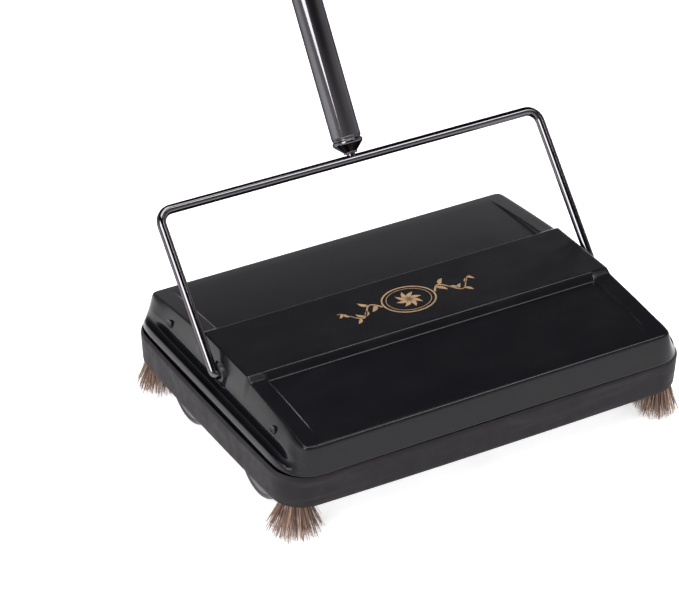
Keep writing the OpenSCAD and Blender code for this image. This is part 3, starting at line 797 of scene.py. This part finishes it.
NODE_MATERIALS = {
    "zinc_steel": ZINC, "black_plastic": PLASTIC, "rotor_plastic": ROTOR_PLASTIC, "black_chrome": CHROME,
    "black_enamel": ENAMEL, "bumper_vinyl": VINYL, "blade_rubber": BLADE_RUBBER, "tread_rubber": TREAD_RUBBER,
    "horsehair": HAIR, "wheel_plastic": WHEEL_PLASTIC
}


def finish_cad_nodes():
    for entry in frame["record"]["subparts"]:
        mesh = frame["nodes"][entry["node"]].data
        mesh.materials.clear()
        mesh.materials.append(NODE_MATERIALS[entry["material_slot"]])


# ---------------------------------------------------------------- studio

# Brightness of the surroundings against the sine of their height above the horizon
WORLD_TONES = ((0.14, 0.70), (0.26, 0.62), (0.38, 0.52), (0.45, 0.34), (0.53, 0.12), (0.64, 0.05))
LIGHTS = (
    # name, place, size, watts
    ("overhead", (-0.1, 0.15, 2.6), (2.0, 1.8), 66),
    ("camera_left", (-1.8, -0.75, 1.3), (1.1, 1.3), 42),
    ("front_right", (1.15, -1.0, 2.1), (0.8, 0.7), 15),
    ("right_card", (1.65, 1.83, 0.45), (0.6, 0.7), 4),
)


def studio():
    """A white floor under soft lights. The surroundings are pale near the floor and dark above it."""
    floor = new_piece("floor", [(-9000, -9000, 0), (9000, -9000, 0), (9000, 9000, 0), (-9000, 9000, 0)],
                      [(0, 1, 2, 3)], pale_floor(), smooth=False)
    bpy.context.scene.view_settings.view_transform = "Standard"
    world = bpy.data.worlds.new("studio")
    bpy.context.scene.world = world
    world.use_nodes = True
    tree = world.node_tree
    direction = tree.nodes.new("ShaderNodeTexCoord").outputs["Generated"]
    parts = tree.nodes.new("ShaderNodeSeparateXYZ")
    tree.links.new(direction, parts.inputs["Vector"])
    ramp = tree.nodes.new("ShaderNodeValToRGB")
    stops = ramp.color_ramp.elements
    stops[0].position, stops[1].position = 0.0, 0.9
    stops[0].color, stops[1].color = (1.1, 1.05, 1.08, 1), (0.02, 0.02, 0.025, 1)
    for height, tone in WORLD_TONES:
        stop = stops.new(height)
        stop.color = (tone, tone * 0.96, tone * 0.99, 1)
    tree.links.new(parts.outputs["Z"], ramp.inputs["Fac"])
    tree.links.new(ramp.outputs["Color"], tree.nodes["Background"].inputs["Color"])
    for name, place, size, power in LIGHTS:
        light = bpy.data.lights.new(name, "AREA")
        light.shape = "RECTANGLE"
        light.size, light.size_y = size
        light.energy = power
        lamp = bpy.data.objects.new(name, light)
        lamp.location = place
        lamp.rotation_euler = (Vector((0, 0, 0.03)) - Vector(place)).to_track_quat("-Z", "Y").to_euler()
        bpy.context.scene.collection.objects.link(lamp)


def camera():
    azimuth, elevation, roll = (math.radians(a) for a in (-30.17, 31.97, 0.61))
    aim, distance = Vector((-0.06305, -0.01806, 0.1106)), 1.9587
    level = math.cos(elevation)
    back = Vector((math.sin(azimuth) * level, -math.cos(azimuth) * level, math.sin(elevation)))
    right = (-back).cross(Vector((0, 0, 1))).normalized()
    up = right.cross(-back)
    turned_right = math.cos(roll) * right + math.sin(roll) * up
    turned_up = -math.sin(roll) * right + math.cos(roll) * up
    data = bpy.data.cameras.new("camera")
    data.sensor_width = 36
    data.lens = 163.15
    data.clip_end = 60
    eye = bpy.data.objects.new("camera", data)
    axes = Matrix((turned_right, turned_up, back)).transposed().to_4x4()
    eye.matrix_world = Matrix.Translation(aim + back * distance) @ axes
    bpy.context.scene.collection.objects.link(eye)
    bpy.context.scene.camera = eye


camera()
studio()
finish_cad_nodes()
top_cover()
bumper()
ornament()
rotor_blades()
for side_name, side_sign in SIDES.items():
    drive_ring(side_name, side_sign)
    for row_name, row_sign in ROWS.items():
        corner_brush(f"{row_name}_{side_name}", side_sign, row_sign)
        tyre(f"{row_name}_{side_name}", side_sign)
bail()
handle_parts()

bpy.context.view_layer.update()
